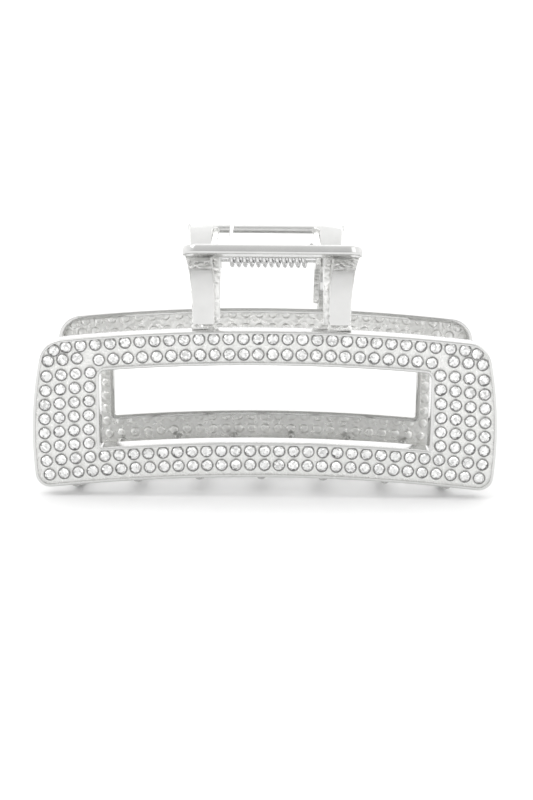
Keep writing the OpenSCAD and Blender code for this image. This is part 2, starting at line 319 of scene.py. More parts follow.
def loft(bm, sections):
    """Extrudes a closed loop of edges from section to section; each is (points, distance from the middle)."""
    points, distance = sections[0]
    verts = [bm.verts.new((x, -distance, z)) for x, z in points]
    edges = [bm.edges.new(pair) for pair in zip(verts, verts[1:] + verts[:1])]
    for points, distance in sections[1:]:
        grown = bmesh.ops.extrude_edge_only(bm, edges=edges)["geom"]
        fresh = {v for v in grown if isinstance(v, bmesh.types.BMVert)}
        verts = [next(e.other_vert(v) for e in v.link_edges if e.other_vert(v) in fresh) for v in verts]
        for v, (x, z) in zip(verts, points):
            v.co = (x, -distance, z)
        edges = [e for e in grown if isinstance(e, bmesh.types.BMEdge) and fresh.issuperset(e.verts)]
    bmesh.ops.remove_doubles(bm, verts=bm.verts, dist=1e-7)


def ring_at(bm, matrix, radius, segments):
    """A circle of edges carried to its place by a matrix."""
    made = bmesh.ops.create_circle(bm, cap_ends=False, segments=segments, radius=radius, matrix=matrix)
    return list({e for v in made["verts"] for e in v.link_edges})


def bridge(bm, loops):
    for first, second in zip(loops, loops[1:]):
        bmesh.ops.bridge_loops(bm, edges=first + second)


def round_corner(along, across, radius, turn, steps=4):
    """Section points round an edge: from along to across, as (offset, distance) pairs."""
    return [(along + radius * math.cos(a), across + radius * math.sin(a))
            for a in (turn[0] + (turn[1] - turn[0]) * i / steps for i in range(steps + 1))]


def smooth_by_angle(bm, angle):
    """Smooth faces, with edges sharper than the angle kept crisp."""
    for face in bm.faces:
        face.smooth = True
    for edge in bm.edges:
        edge.smooth = len(edge.link_faces) == 2 and edge.calc_face_angle(0) < angle


def turned(bm, side):
    """Turns a piece drawn as the front one to the rear."""
    if side == "rear":
        bmesh.ops.rotate(bm, cent=(0, 0, 0), matrix=Matrix.Rotation(math.pi, 3, "Z"), verts=bm.verts)


def make_piece(bm, name, materials, body, node):
    """Makes an object from a finished bmesh and hands it to the frame."""
    if not bm.faces:
        raise RuntimeError(f"{name} has no faces")
    name = f"{name}_visual"
    mesh = bpy.data.meshes.new(name)
    bm.to_mesh(mesh)
    bm.free()
    for material in materials:
        mesh.materials.append(material)
    piece = bpy.data.objects.new(name, mesh)
    bpy.context.scene.collection.objects.link(piece)
    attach(piece, body)
    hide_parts(node)
    return piece


# Material helpers

def add_node(tree, kind, place=(0, 0), **settings):
    made = tree.nodes.new(kind)
    made.location = place
    for key, value in settings.items():
        setattr(made, key, value)
    return made


def new_group(name, inputs, outputs):
    """A shader node group with named float inputs and outputs."""
    group = bpy.data.node_groups.new(name, "ShaderNodeTree")
    for label, kind, default in inputs:
        socket = group.interface.new_socket(label, in_out="INPUT", socket_type=kind)
        if default is not None:
            socket.default_value = default
    for label, kind in outputs:
        group.interface.new_socket(label, in_out="OUTPUT", socket_type=kind)
    return group, add_node(group, "NodeGroupInput", (-900, 0)), add_node(group, "NodeGroupOutput", (600, 0))


def cast_grain_group():
    """Lumpy, pitted grain of a plated casting."""
    name = "Cast grain"
    if name in bpy.data.node_groups:
        return bpy.data.node_groups[name]
    group, given, result = new_group(
        name,
        [("Vector", "NodeSocketVector", None),
         ("Grain", "NodeSocketFloat", 2500.0),
         ("Pits", "NodeSocketFloat", 0.5)],
        [("Height", "NodeSocketFloat"), ("Shade", "NodeSocketFloat")])
    links = group.links
    lumps = add_node(group, "ShaderNodeTexVoronoi", (-600, 200), feature="SMOOTH_F1")
    links.new(given.outputs["Vector"], lumps.inputs["Vector"])
    links.new(given.outputs["Grain"], lumps.inputs["Scale"])
    fine = add_node(group, "ShaderNodeTexNoise", (-600, -200))
    fine.inputs["Detail"].default_value = 4
    links.new(given.outputs["Vector"], fine.inputs["Vector"])
    links.new(given.outputs["Grain"], fine.inputs["Scale"])
    mix = add_node(group, "ShaderNodeMix", (-200, 0), data_type="FLOAT")
    links.new(given.outputs["Pits"], mix.inputs[0])
    links.new(lumps.outputs["Distance"], mix.inputs[2])
    links.new(fine.outputs["Fac"], mix.inputs[3])
    links.new(mix.outputs[0], result.inputs["Height"])
    shade = add_node(group, "ShaderNodeMapRange", (200, -200))
    shade.inputs["From Min"].default_value = 0.25
    shade.inputs["From Max"].default_value = 0.75
    links.new(mix.outputs[0], shade.inputs["Value"])
    links.new(shade.outputs["Result"], result.inputs["Shade"])
    return group


def handling_wear_group():
    """Faint scuffs and smears that change the plating's gloss."""
    name = "Handling wear"
    if name in bpy.data.node_groups:
        return bpy.data.node_groups[name]
    group, given, result = new_group(
        name,
        [("Vector", "NodeSocketVector", None),
         ("Low", "NodeSocketFloat", 0.08),
         ("High", "NodeSocketFloat", 0.2)],
        [("Roughness", "NodeSocketFloat"), ("Height", "NodeSocketFloat")])
    links = group.links
    smears = add_node(group, "ShaderNodeTexNoise", (-600, 200))
    smears.inputs["Scale"].default_value = 180
    smears.inputs["Detail"].default_value = 3
    links.new(given.outputs["Vector"], smears.inputs["Vector"])
    spread = add_node(group, "ShaderNodeMapRange", (-200, 200))
    spread.inputs["From Min"].default_value = 0.35
    spread.inputs["From Max"].default_value = 0.65
    links.new(smears.outputs["Fac"], spread.inputs["Value"])
    links.new(given.outputs["Low"], spread.inputs["To Min"])
    links.new(given.outputs["High"], spread.inputs["To Max"])
    links.new(spread.outputs["Result"], result.inputs["Roughness"])
    ripple = add_node(group, "ShaderNodeTexNoise", (-600, -200))
    ripple.inputs["Scale"].default_value = 400
    ripple.inputs["Detail"].default_value = 2
    links.new(given.outputs["Vector"], ripple.inputs["Vector"])
    links.new(ripple.outputs["Fac"], result.inputs["Height"])
    return group


def start_material(name):
    """A material with its Principled shader and Object coordinates."""
    material = bpy.data.materials.new(name)
    material.use_nodes = True
    tree = material.node_tree
    shader = tree.nodes["Principled BSDF"]
    coords = add_node(tree, "ShaderNodeTexCoord", (-1200, 0))
    return material, tree, shader, coords.outputs["Object"]


def add_tone(tree, shader, factor, first, second):
    """Base colour that runs from one colour to another."""
    tone = add_node(tree, "ShaderNodeMix", (-400, 200), data_type="RGBA")
    tone.inputs["A"].default_value = (*first, 1)
    tone.inputs["B"].default_value = (*second, 1)
    tree.links.new(factor, tone.inputs["Factor"])
    tree.links.new(tone.outputs["Result"], shader.inputs["Base Color"])


def add_gloss(tree, shader, value, start, end):
    """Roughness that runs from one value to another."""
    gloss = add_node(tree, "ShaderNodeMapRange", (-400, -100))
    gloss.inputs["To Min"].default_value = start
    gloss.inputs["To Max"].default_value = end
    tree.links.new(value, gloss.inputs["Value"])
    tree.links.new(gloss.outputs["Result"], shader.inputs["Roughness"])


def add_bump(tree, shader, height, strength, distance):
    bump = add_node(tree, "ShaderNodeBump", (-250, -300))
    bump.inputs["Strength"].default_value = strength
    bump.inputs["Distance"].default_value = distance
    tree.links.new(height, bump.inputs["Height"])
    tree.links.new(bump.outputs["Normal"], shader.inputs["Normal"])


def plating_material(name, tint, rough, ripple=0.15):
    """Polished silver plating with faint smears and a slightly wavy cast surface."""
    material, tree, shader, coords = start_material(name)
    shader.inputs["Metallic"].default_value = 1
    wear = add_node(tree, "ShaderNodeGroup", (-900, 0), node_tree=handling_wear_group())
    wear.inputs["Low"].default_value = rough * 0.7
    wear.inputs["High"].default_value = rough * 1.5
    tree.links.new(coords, wear.inputs["Vector"])
    tree.links.new(wear.outputs["Roughness"], shader.inputs["Roughness"])
    add_tone(tree, shader, wear.outputs["Height"], tint, [c * 0.9 for c in tint])
    add_bump(tree, shader, wear.outputs["Height"], ripple, 0.0002)
    return material


def casting_material(name, tint, rough, grain, depth, strength):
    """Plated casting left as cast: lumpy, pitted and duller in its hollows."""
    material, tree, shader, coords = start_material(name)
    shader.inputs["Metallic"].default_value = 1
    cast = add_node(tree, "ShaderNodeGroup", (-900, 0), node_tree=cast_grain_group())
    cast.inputs["Grain"].default_value = grain
    tree.links.new(coords, cast.inputs["Vector"])
    add_tone(tree, shader, cast.outputs["Shade"], [c * 0.85 for c in tint], tint)
    add_gloss(tree, shader, cast.outputs["Shade"], rough * 1.3, rough * 0.7)
    add_bump(tree, shader, cast.outputs["Height"], strength, depth)
    return material


def drawn_wire_material(name, tint, along):
    """Drawn steel with fine lines along the wire or round the pin."""
    material, tree, shader, coords = start_material(name)
    shader.inputs["Metallic"].default_value = 1
    stretch = add_node(tree, "ShaderNodeMapping", (-1000, 0))
    stretch.inputs["Scale"].default_value = along
    lines = add_node(tree, "ShaderNodeTexNoise", (-750, 0))
    lines.inputs["Scale"].default_value = 1
    lines.inputs["Detail"].default_value = 3
    tree.links.new(coords, stretch.inputs["Vector"])
    tree.links.new(stretch.outputs["Vector"], lines.inputs["Vector"])
    add_tone(tree, shader, lines.outputs["Fac"], [c * 0.8 for c in tint], tint)
    add_gloss(tree, shader, lines.outputs["Fac"], 0.15, 0.32)
    add_bump(tree, shader, lines.outputs["Fac"], 0.2, 0.00005)
    return material


def stone_material(name, tint):
    """Foil-backed cut stone: small inner facets that each catch the light another way, tipped in the normal
    and with painted glints and shade in the colour.
    """
    material, tree, shader, coords = start_material(name)
    shader.inputs["Metallic"].default_value = 0.85
    shader.inputs["Roughness"].default_value = 0.06
    shader.inputs["Coat Weight"].default_value = 1
    shader.inputs["Coat Roughness"].default_value = 0.02
    facets = add_node(tree, "ShaderNodeTexVoronoi", (-900, 0))
    facets.inputs["Scale"].default_value = 1900
    tree.links.new(coords, facets.inputs["Vector"])
    spark = add_node(tree, "ShaderNodeSeparateColor", (-650, 200))
    tree.links.new(facets.outputs["Color"], spark.inputs["Color"])
    shade = add_node(tree, "ShaderNodeMapRange", (-450, 200))
    shade.inputs["To Min"].default_value = 0.62
    shade.inputs["To Max"].default_value = 1
    tree.links.new(spark.outputs["Red"], shade.inputs["Value"])
    # Each facet's colour is painted from dark to light: painted glints and shade of the facets.
    add_tone(tree, shader, shade.outputs["Result"], [c * 0.3 for c in tint], tint)
    facing = add_node(tree, "ShaderNodeNewGeometry", (-900, -400))
    centred = add_node(tree, "ShaderNodeVectorMath", (-650, -200), operation="SUBTRACT")
    centred.inputs[1].default_value = (0.5, 0.5, 0.5)
    tree.links.new(facets.outputs["Color"], centred.inputs[0])
    lean = add_node(tree, "ShaderNodeVectorMath", (-450, -200), operation="SCALE")
    lean.inputs["Scale"].default_value = 0.55
    tree.links.new(centred.outputs["Vector"], lean.inputs[0])
    tipped = add_node(tree, "ShaderNodeVectorMath", (-250, -300), operation="ADD")
    tree.links.new(facing.outputs["Normal"], tipped.inputs[0])
    tree.links.new(lean.outputs["Vector"], tipped.inputs[1])
    level = add_node(tree, "ShaderNodeVectorMath", (-80, -300), operation="NORMALIZE")
    tree.links.new(tipped.outputs["Vector"], level.inputs[0])
    tree.links.new(level.outputs["Vector"], shader.inputs["Normal"])
    return material


def finishes(scene):
    """The clip's materials by plain name, made once."""
    finish = scene.clip_finish
    makers = {
        "plating": lambda: plating_material("Polished plating", finish.plating, finish.polish),
        # The seat's dark colour is painted shade: the shadow in the gap between each stone and its cup's
        # wall.
        "seat": lambda: casting_material("Tarnished seat", finish.seat, 0.45, 3000, 0.0002, 0.6),
        "cups": lambda: plating_material("Cup plating", finish.plating, finish.polish * 0.8, 0.3),
        "floor_grain": lambda: casting_material(
            "Granular plate", finish.casting, finish.cast_rough, 2600, 0.0003, 0.9),
        "tray": lambda: casting_material("Cast tray", finish.casting, finish.cast_rough, 1300, 0.0004, 0.6),
        "flank": lambda: casting_material("Cast flank", finish.casting, finish.cast_rough, 1100, 0.0006, 1.0),
        "solder": lambda: casting_material("Solder", finish.casting, 0.25, 900, 0.0006, 1.0),
        "stone": lambda: stone_material("Foil-backed stone", finish.stone),
        "pin": lambda: drawn_wire_material("Turned pin", finish.steel, (9000, 300, 300)),
        "wire": lambda: drawn_wire_material("Spring wire", finish.steel, (9000, 500, 500)),
    }

    def get(name):
        key = f"clip_{name}"
        if key not in MADE:
            MADE[key] = makers[name]()
        return MADE[key]
    return get


MADE = {}

# Height of a cup's seat above the plate
SEAT_LIFT = 0.00005

# Largest angle at which a stone leans in its cup
STONE_LEAN = 0.05

# An ear's web: its lower edge under the jaw's top and short of the leg, and its run along the strip
WEB_DROP = 0.0006
WEB_CLEAR = 0.0016
WEB_START = 0.0052
WEB_STEP = 0.0016
WEB_DEPTH = 0.0002

# Strip cut into bands this long so that it can be bent, and the end of the curl's rough underside
BAND = 0.0006
CURL_END = 0.0105


# Pieces

def jaw_sections(jaw):
    """Section of the tray's outer wall and rim as (offset, distance) pairs, from the plate's back round
    to the plate's face. The window's wall has the same section, mirrored."""
    face, back = face_distance(), back_distance()
    plate_out = face - jaw.rim_height
    plate_in = plate_out - jaw.plate
    quarter = math.pi / 2
    small, big = jaw.edge_round, jaw.rim_round
    inner_small = min(small, jaw.rim_width - big)
    outer = [(jaw.wall, plate_in)]
    outer += round_corner(jaw.wall - small, back + small, small, (0, -quarter))
    outer += round_corner(small, back + small, small, (-quarter, -2 * quarter))
    outer += round_corner(big, face - big, big, (2 * quarter, quarter), 6)
    outer += round_corner(jaw.rim_width - inner_small, face - inner_small, inner_small, (quarter, 0))
    outer += [(jaw.rim_width, plate_out)]
    return outer


def build_jaw(scene, side):
    """One jaw: a lofted tray, then its cups."""
    jaw, get = scene.clip_jaw, finishes(scene)
    base = jaw_base(scene)
    bm = bmesh.new()
    outer = jaw_sections(jaw)
    sections = [(jaw_outline(jaw, offset, base), distance) for offset, distance in outer]
    sections += [(window_outline(jaw, offset, base), distance) for offset, distance in reversed(outer)]
    loft(bm, sections + sections[:1])
    bmesh.ops.recalc_face_normals(bm, faces=bm.faces)
    smooth_by_angle(bm, math.radians(35))
    plate_out = face_distance() - jaw.rim_height
    for face in bm.faces:
        distance = -face.calc_center_median().y
        if abs(face.normal.y) > 0.99 and abs(distance - plate_out) < 1e-5:
            face.material_index = 1
        elif back_distance() + 1e-4 < distance < plate_out and is_inside_tray(jaw, face, base):
            face.material_index = 2
    turned(bm, side)
    node = f"{side}_jaw_frame"
    materials = [get("plating"), get("floor_grain"), get("tray")]
    make_piece(bm, f"{side}_jaw", materials, f"{side}_half", node)
    build_cups(scene, side, node)


def is_inside_tray(jaw, face, base):
    """Whether a face lines the hollow back of the tray."""
    centre = face.calc_center_median()
    towards_back = face.normal.y > 0.9
    if towards_back:
        return True
    x = abs(centre.x)
    drop = jaw.arch_radius - math.sqrt(jaw.arch_radius ** 2 - x * x)
    h = centre.z - base + drop
    edge = min(jaw_half_length() - x, h, jaw.height - h)
    gap = max(x - jaw.window_half, jaw.window_low - h, h - jaw.window_high)
    return edge > jaw.wall * 0.6 and gap > jaw.wall * 0.6


def build_cups(scene, side, node):
    """A wall and seat round every stone, and a round back behind every cup."""
    jaw, stone, get = scene.clip_jaw, scene.clip_stone, finishes(scene)
    outward = -1 if side == "front" else 1
    floor = (face_distance() - jaw.rim_height) * outward
    inner = stone.radius + stone.cup_gap
    outer = inner + stone.cup_wall
    cups, backs = bmesh.new(), bmesh.new()
    lay = Matrix.Rotation(-outward * math.pi / 2, 4, "X")
    half = stone.cup_wall / 2
    wall = [(outer, -0.0001), (outer, stone.cup_height - half), (inner + half, stone.cup_height),
            (inner, stone.cup_height - half), (inner, SEAT_LIFT), (stone.radius * 0.9, SEAT_LIFT)]
    dome = [(stone.back_radius, -0.0001), (stone.back_radius * 0.92, stone.back_height * 0.45),
            (stone.back_radius * 0.55, stone.back_height * 0.9)]
    places = [c for group in STONE_GROUPS for c in separate_centres(f"{side}_{group}")]
    for c in places:
        at = Matrix.Translation((c.x, floor, c.z)) @ lay
        bridge(cups, [ring_at(cups, at @ Matrix.Translation((0, 0, h)), r, 18) for r, h in wall])
        plate_back = Matrix.Translation((c.x, floor - outward * jaw.plate, c.z))
        behind = plate_back @ lay @ Matrix.Rotation(math.pi, 4, "X")
        rings = [ring_at(backs, behind @ Matrix.Translation((0, 0, h)), r, 14) for r, h in dome]
        bridge(backs, rings)
        bmesh.ops.contextual_create(backs, geom=rings[-1])
    seat = abs(floor) + SEAT_LIFT * 1.5
    for bm, name, used in ((cups, "stone_cups", ("cups", "seat")), (backs, "cup_backs", ("tray",))):
        bmesh.ops.recalc_face_normals(bm, faces=bm.faces)
        smooth_by_angle(bm, math.radians(70))
        # Faces low in a cup, round a stone's foot, take the seat's painted shade.
        for face in bm.faces:
            low = max(abs(v.co.y) for v in face.verts) < seat
            face.material_index = 1 if "seat" in used and low else 0
        make_piece(bm, f"{side}_{name}", [get(key) for key in used], f"{side}_half", node)


def cut_stone(stone):
    """One flat-backed stone standing on its back at the origin: a girdle cut to a crown by planes."""
    bm = bmesh.new()
    bmesh.ops.create_cone(bm, cap_ends=True, segments=16, radius1=stone.radius, radius2=stone.radius,
                          depth=stone.height)
    bmesh.ops.translate(bm, verts=bm.verts, vec=(0, 0, stone.height / 2))
    crown = stone.height - stone.girdle
    run = stone.radius - stone.table
    for turn, depth, fall in ((0, 0.0, 1.0), (0.5, 0.3, 0.72)):
        for i in range(8):
            angle = (i + turn) * math.pi / 4
            out = Vector((math.cos(angle), math.sin(angle), 0))
            top = out * (stone.table + depth * run * 0.35) + Vector((0, 0, stone.height))
            normal = (out * crown * fall + Vector((0, 0, run))).normalized()
            cut = bmesh.ops.bisect_plane(bm, geom=bm.verts[:] + bm.edges[:] + bm.faces[:], plane_co=top,
                                         plane_no=normal, clear_outer=True)
            rim = [e for e in cut["geom_cut"] if isinstance(e, bmesh.types.BMEdge)]
            bmesh.ops.contextual_create(bm, geom=rim)
    bmesh.ops.recalc_face_normals(bm, faces=bm.faces)
    mesh = bpy.data.meshes.new("cut_stone")
    bm.to_mesh(mesh)
    bm.free()
    return mesh


def build_stones(scene, side, group, pattern):
    """One row or block of stones, each turned a little differently in its cup."""
    get = finishes(scene)
    outward = -1 if side == "front" else 1
    lay = Matrix.Rotation(-outward * math.pi / 2, 4, "X")
    bm = bmesh.new()
    node = f"{side}_{group}"
    for c in separate_centres(node):
        first = len(bm.verts)
        bm.from_mesh(pattern)
        bm.verts.ensure_lookup_table()
        twist = noise.cell(c * 1000) * math.pi
        lean = Matrix.Rotation(STONE_LEAN * noise.noise(c * 700), 4, "X")
        lean = lean @ Matrix.Rotation(STONE_LEAN * noise.noise(c * 900), 4, "Y")
        bmesh.ops.transform(bm, matrix=Matrix.Translation(c) @ lay @ lean @ Matrix.Rotation(twist, 4, "Z"),
                            verts=bm.verts[first:])
    make_piece(bm, node, [get("stone")], f"{side}_half", node)


def build_teeth(scene, side):
    """The row of round-tipped teeth under a jaw, each lofted along its curve."""
    tooth, get = scene.clip_tooth, finishes(scene)
    bm = bmesh.new()
    node = f"{side}_teeth"
    turn = 1 if side == "front" else -1
    start = -math.asin((tooth.root_place - tooth.low_place) / tooth.bow_radius)
    end = math.asin((tooth.low_place + tooth.reach) / tooth.bow_radius)
    steps, tip_steps = 14, 5
    for c in separate_centres(node):
        low = low_point(node, c)
        centre = Vector((c.x * turn, -tooth.low_place, low + tooth.radius + tooth.bow_radius))
        stations = []
        for i in range(steps + 1):
            part = i / steps
            angle = start + (end - start) * part
            taper = (tooth.tip_radius - tooth.radius) * max(angle, 0) / end
            stations.append((angle, tooth.radius + taper, 0))
        for i in range(1, tip_steps):
            lift = i / tip_steps * math.pi / 2
            stations.append((end, tooth.tip_radius * math.cos(lift), tooth.tip_radius * math.sin(lift)))
        rings = []
        for angle, radius, ahead in stations:
            swing = Matrix.Translation(centre) @ Matrix.Rotation(angle, 4, "X")
            reach = Matrix.Translation((0, ahead, -tooth.bow_radius))
            frame_at = swing @ reach @ Matrix.Rotation(-math.pi / 2, 4, "X")
            rings.append(ring_at(bm, frame_at, radius, 16))
        bridge(bm, rings)
        bmesh.ops.contextual_create(bm, geom=rings[0])
        bmesh.ops.contextual_create(bm, geom=rings[-1])
    bmesh.ops.recalc_face_normals(bm, faces=bm.faces)
    smooth_by_angle(bm, math.radians(50))
    turned(bm, side)
    make_piece(bm, node, [get("plating")], f"{side}_half", node)


def low_point(node, centre):
    """Lowest height of the frame's solid nearest to a place along the clip."""
    reach = 0.002
    return min(v.co.z for v in frame["nodes"][node].data.vertices if abs(v.co.x - centre.x) < reach)


def strip_path(scene, along, off):
    """Place (distance from the middle, height) of a point of the handle's strip: along is the way
    from the tip towards the foot, and off the height above the strip's middle, on the hinge side."""
    handle = scene.clip_handle
    angle = handle.curl_angle
    base = jaw_base(scene)
    upright = back_distance() + handle.thickness / 2
    reach = -box("front_handle")[0].y
    curl_reach = handle.curl_radius * (1 - math.cos(angle))
    tip_len = (reach - handle.thickness / 2 - upright - curl_reach) / math.sin(angle)
    tip_len += handle.thickness / 2
    curl_len = handle.curl_radius * angle
    tip = (upright + handle.curl_radius * (1 - math.cos(angle)) + tip_len * math.sin(angle),
           base + handle.tip_height + handle.thickness / 2 * math.cos(angle))
    if along < tip_len:
        turn = angle
        place = (tip[0] - along * math.sin(angle), tip[1] - along * math.cos(angle))
    else:
        turn = max(angle - (along - tip_len) / handle.curl_radius, 0)
        curl_end = (tip[0] - tip_len * math.sin(angle), tip[1] - tip_len * math.cos(angle))
        place = (curl_end[0] - handle.curl_radius * (math.cos(turn) - math.cos(angle)),
                 curl_end[1] - handle.curl_radius * (math.sin(angle) - math.sin(turn)))
        past = along - tip_len - curl_len
        if past > 0:
            place = (place[0], place[1] - past)
    return place[0] - off * math.cos(turn), place[1] + off * math.sin(turn), turn


def loop_outline(scene, foot_along):
    """Flat outline of the handle's strip as (x, along), with along counted from the tip."""
    handle = scene.clip_handle
    quarter = math.pi / 2

    def outer_half(along):
        return handle.tip_half + (handle.foot_half - handle.tip_half) * min(along / 0.019, 1)

    def inner_half(along):
        return handle.loop_tip + (handle.loop_foot - handle.loop_tip) * min(along / 0.019, 1)

    bends = [0.004, 0.007, 0.010, 0.013, 0.016, 0.019]
    corner = (outer_half(0) - handle.corner, handle.corner + handle.tip_inset)
    inside = (inner_half(handle.bar) - handle.loop_corner, handle.bar + handle.loop_corner)
    right = arc(corner, handle.corner, -quarter, 0, 8)
    right += [(outer_half(a), a) for a in bends] + [(outer_half(foot_along), foot_along)]
    right += [(inner_half(foot_along), foot_along)]
    right += [(inner_half(a), a) for a in reversed(bends[1:])]
    right += arc(inside, handle.loop_corner, 0, -quarter, 6)
    return right + [(-x, a) for x, a in reversed(right)]


def build_handle(scene, side):
    """A finger handle: a flat loop with rounded edges, curled to its path, and two hinge ears."""
    handle, get = scene.clip_handle, finishes(scene)
    foot_height = box("front_handle")[0].z
    foot_along = next(a / 1e4 for a in range(400) if strip_path(scene, a / 1e4, 0)[1] <= foot_height)
    bm = bmesh.new()
    verts = [bm.verts.new((x, along, -handle.thickness / 2)) for x, along in loop_outline(scene, foot_along)]
    flat = bm.faces.new(verts)
    lifted = bmesh.ops.extrude_face_region(bm, geom=[flat])["geom"]
    bmesh.ops.translate(bm, verts=[v for v in lifted if isinstance(v, bmesh.types.BMVert)],
                        vec=(0, 0, handle.thickness))
    bmesh.ops.recalc_face_normals(bm, faces=bm.faces)
    edges = [e for e in bm.edges if abs(e.verts[0].co.z - e.verts[1].co.z) < 1e-7]
    bmesh.ops.bevel(bm, geom=edges, offset=handle.edge, affect="EDGES", segments=5, profile=0.5, material=-1)
    for i in range(1, int(foot_along / BAND)):
        everything = bm.verts[:] + bm.edges[:] + bm.faces[:]
        bmesh.ops.bisect_plane(bm, geom=everything, plane_co=(0, i * BAND, 0), plane_no=(0, 1, 0))
    for face in bm.faces:
        centre = face.calc_center_median()
        curled_under = centre.z < 0 and handle.bar < centre.y < CURL_END
        flank = abs(face.normal.z) < 0.85 and centre.y > handle.bar
        face.material_index = 1 if curled_under or flank else 0
    for v in bm.verts:
        away, height, _ = strip_path(scene, v.co.y, v.co.z)
        v.co = (v.co.x, -away, height)
    bmesh.ops.recalc_face_normals(bm, faces=bm.faces)
    shift = handle_shift(side)
    for sign in (-1, 1):
        add_ear(scene, bm, sign * (handle.loop_foot + handle.ear_bite - handle.ear / 2))
    bmesh.ops.translate(bm, verts=bm.verts, vec=(shift, 0, 0))
    smooth_by_angle(bm, math.radians(40))
    turned(bm, side)
    node = f"{side}_handle"
    make_piece(bm, node, [get("plating"), get("flank")], f"{side}_half", node)


def add_ear(scene, bm, x):
    """A hinge ear: a plate with a round eye on the pin and a web back to the handle's leg."""
    handle, jaw = scene.clip_handle, scene.clip_jaw
    base = jaw_base(scene)
    top = base + jaw.height
    upright = back_distance() + handle.thickness / 2
    web_r = upright - WEB_CLEAR
    points = arc((0, HINGE.z), handle.eye, math.pi / 2, -math.pi / 2, 16)
    path = [strip_path(scene, WEB_START + WEB_STEP * i, WEB_DEPTH) for i in range(9)]
    sweep = [math.radians(82 - 7 * i) for i in range(11)]
    points += [(-web_r * math.cos(a), top - WEB_DROP + web_r * math.sin(a)) for a in sweep]
    points += [(-upright, top + 0.001)]
    points += [(-away, height) for away, height, _ in reversed(path)]
    old = set(bm.faces)
    verts = [bm.verts.new((x - handle.ear / 2, y, z)) for y, z in points]
    flat = bm.faces.new(verts)
    lifted = bmesh.ops.extrude_face_region(bm, geom=[flat])["geom"]
    far_side = [v for v in lifted if isinstance(v, bmesh.types.BMVert)]
    bmesh.ops.translate(bm, verts=far_side, vec=(handle.ear, 0, 0))
    fresh = [f for f in bm.faces if f not in old]
    bmesh.ops.recalc_face_normals(bm, faces=fresh)
    edges = {e for f in fresh for e in f.edges if abs(e.verts[0].co.x - e.verts[1].co.x) < 1e-7}
    bmesh.ops.bevel(bm, geom=list(edges), offset=0.0002, affect="EDGES", segments=2, profile=0.5, material=-1)
    for f in bm.faces:
        if f not in old:
            f.material_index = 1


def build_solder(scene, side):
    """Lumpy solder along the front of each foot of a handle."""
    get = finishes(scene)
    bm = bmesh.new()
    node = f"{side}_solder_seams"
    outward = -1 if side == "front" else 1
    for c in separate_centres(node):
        corners = island_box(node, c)
        size, middle = corners[1] - corners[0], (corners[0] + corners[1]) / 2
        lump = bmesh.new()
        bmesh.ops.create_cube(lump, size=1)
        bmesh.ops.subdivide_edges(lump, edges=lump.edges, cuts=7, use_grid_fill=True)
        bmesh.ops.scale(lump, vec=size * 0.96, verts=lump.verts)
        for v in lump.verts:
            away = v.co.y * outward / size.y + 0.5
            if v.co.z > 0:
                v.co.z *= 1 - 0.8 * min(max(away, 0), 1)
        bmesh.ops.smooth_vert(
            lump, verts=lump.verts, factor=0.5, use_axis_x=True, use_axis_y=True, use_axis_z=True)
        for v in lump.verts:
            v.co -= v.co.normalized() * 0.00008 * (1 + noise.noise((v.co + middle) * 1400))
        bmesh.ops.translate(lump, verts=lump.verts, vec=middle)
        mesh = bpy.data.meshes.new("lump")
        lump.to_mesh(mesh)
        lump.free()
        bm.from_mesh(mesh)
        bpy.data.meshes.remove(mesh)
    bmesh.ops.recalc_face_normals(bm, faces=bm.faces)
    smooth_by_angle(bm, math.radians(80))
    make_piece(bm, node, [get("solder")], f"{side}_half", node)


def island_box(node, centre):
    """Corners of the frame's solid on the same side of the handle as a place."""
    low, high = box(node)
    middle = (low.x + high.x) / 2
    verts = [v.co for v in frame["nodes"][node].data.vertices if (v.co.x > middle) == (centre.x > middle)]
    return tuple(Vector(end(v[i] for v in verts) for i in range(3)) for end in (min, max))


def build_pin(scene):
    """The hinge pin with a domed head at each end, spun about its axis."""
    hinge, get = scene.clip_hinge, finishes(scene)
    low, high = box("hinge_pin")
    middle = (low.x + high.x) / 2
    half = (high.x - low.x) / 2
    inner = half - hinge.head_thickness
    dome = arc((inner, 0), 1, 0, math.pi / 2, 6)
    right = [(inner + (x - inner) * hinge.head_thickness, y * hinge.head_radius) for x, y in dome]
    right += [(inner, hinge.head_radius), (inner, hinge.pin_radius)]
    profile = right + [(-x, r) for x, r in reversed(right)]
    bm = bmesh.new()
    verts = [bm.verts.new((middle + x, 0, HINGE.z + r)) for x, r in profile]
    edges = [bm.edges.new(pair) for pair in zip(verts, verts[1:])]
    bmesh.ops.spin(
        bm, geom=verts + edges, cent=HINGE, axis=(1, 0, 0), angle=math.tau, steps=40, use_merge=True)
    bmesh.ops.remove_doubles(bm, verts=bm.verts, dist=1e-7)
    bmesh.ops.recalc_face_normals(bm, faces=bm.faces)
    smooth_by_angle(bm, math.radians(50))
    make_piece(bm, "hinge_pin", [get("pin")], "rear_half", "hinge_pin")


